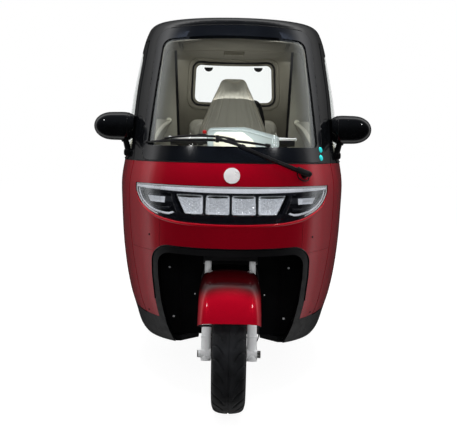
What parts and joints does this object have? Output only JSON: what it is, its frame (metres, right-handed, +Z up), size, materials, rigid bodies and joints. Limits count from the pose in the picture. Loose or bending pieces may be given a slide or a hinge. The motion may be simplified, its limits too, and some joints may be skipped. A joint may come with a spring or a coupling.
{
  "type": "three-wheeled electric cabin scooter",
  "caption": "Closed electric cabin scooter with a steered front wheel on a telescopic fork, a pair of rear wheels, tandem seats, hinged side doors and a boot lid.",
  "frame": {"origin": "on the ground under the centre of the bounding box, between the wheels", "axes": "+Z up, the nose points to -Y and the tail to +Y, +X is the left-hand side of the vehicle"},
  "size_m": [1.214, 2.24, 1.6],
  "materials": {
    "gloss_black": "gloss",
    "glass": "clear",
    "red_paint": "metallic gloss",
    "door_skin": "metallic gloss",
    "black_plastic": "satin",
    "lamp_lens": "clear",
    "lamp_housing": "satin",
    "tail_lens": "gloss",
    "liner_plastic": "matte",
    "frame_steel": "satin",
    "floor_steel": "matte",
    "battery_case": "matte",
    "beige_plastic": "satin",
    "seat_leather": "satin",
    "axle_iron": "satin",
    "damper_steel": "satin",
    "plate_blank": "satin",
    "fork_steel": "bright",
    "fork_alloy": "bright",
    "bar_steel": "bright",
    "grip_rubber": "matte",
    "hood_plastic": "satin",
    "tyre": "matte",
    "wheel_alloy": "satin"
  },
  "bodies": {
    "body": {"roof_shell": "gloss_black", "windscreen": "glass", "rear_window": "glass", "front_panel": "red_paint", "nose_apron": "red_paint", "wing_left": "red_paint", "wing_right": "red_paint", "wheel_arch_trim": "black_plastic", "headlight_lens": "lamp_lens", "headlight_housing": "lamp_housing", "side_sills": "black_plastic", "rear_bumper": "black_plastic", "rear_body": "red_paint", "tail_lamps": "tail_lens", "wheel_well_liner": "liner_plastic", "chassis_frame": "frame_steel", "dashboard": "beige_plastic", "rear_wheelhouses": "liner_plastic", "floor_pan": "floor_steel", "battery_box": "battery_case", "driver_seat_base": "beige_plastic", "driver_seat": "seat_leather", "rear_seat": "seat_leather", "rear_axle": "axle_iron", "rear_shocks": "damper_steel", "wiper": "black_plastic"},
    "left_door": {"door_left": "door_skin", "door_frame_left": "gloss_black", "door_glass_left": "glass", "mirror_left": "gloss_black", "door_handle_left": "gloss_black"},
    "right_door": {"door_right": "door_skin", "door_frame_right": "gloss_black", "door_glass_right": "glass", "mirror_right": "gloss_black", "door_handle_right": "gloss_black"},
    "boot": {"boot_lid": "red_paint", "number_plate": "plate_blank"},
    "steering": {"steering_column": "fork_steel", "fork_sliders": "fork_alloy", "front_axle": "fork_alloy", "front_fender": "red_paint", "handlebar": "bar_steel", "handlebar_grips": "grip_rubber", "binnacle": "beige_plastic", "instrument_hood": "hood_plastic"},
    "front_wheel": {"front_tyre": "tyre", "front_rim": "wheel_alloy"},
    "rear_wheel_left": {"rear_tyre_left": "tyre", "rear_rim_left": "wheel_alloy"},
    "rear_wheel_right": {"rear_tyre_right": "tyre", "rear_rim_right": "wheel_alloy"}
  },
  "joints": [
    {"name": "steering", "type": "hinge", "parent": "body", "child": "steering", "pos_m": [0, -0.86, 0.22], "axis": [0, 0.3746, 0.9272], "range_deg": [-35, 35]},
    {"name": "front_wheel_spin", "type": "hinge", "parent": "steering", "child": "front_wheel", "pos_m": [0, -0.9, 0.22], "axis": [1, 0, 0], "continuous": true},
    {"name": "rear_left_spin", "type": "hinge", "parent": "body", "child": "rear_wheel_left", "pos_m": [0.375, 0.66, 0.22], "axis": [1, 0, 0], "continuous": true},
    {"name": "rear_right_spin", "type": "hinge", "parent": "body", "child": "rear_wheel_right", "pos_m": [-0.375, 0.66, 0.22], "axis": [1, 0, 0], "continuous": true},
    {"name": "left_door_hinge", "type": "hinge", "parent": "body", "child": "left_door", "pos_m": [0.443, -0.56, 0.6], "axis": [0, 0, -1], "range_deg": [0, 65]},
    {"name": "right_door_hinge", "type": "hinge", "parent": "body", "child": "right_door", "pos_m": [-0.443, -0.56, 0.6], "axis": [0, 0, 1], "range_deg": [0, 65]},
    {"name": "boot_hinge", "type": "hinge", "parent": "body", "child": "boot", "pos_m": [0, 0.962, 0.943], "axis": [1, 0, 0], "range_deg": [0, 70]}
  ]
}
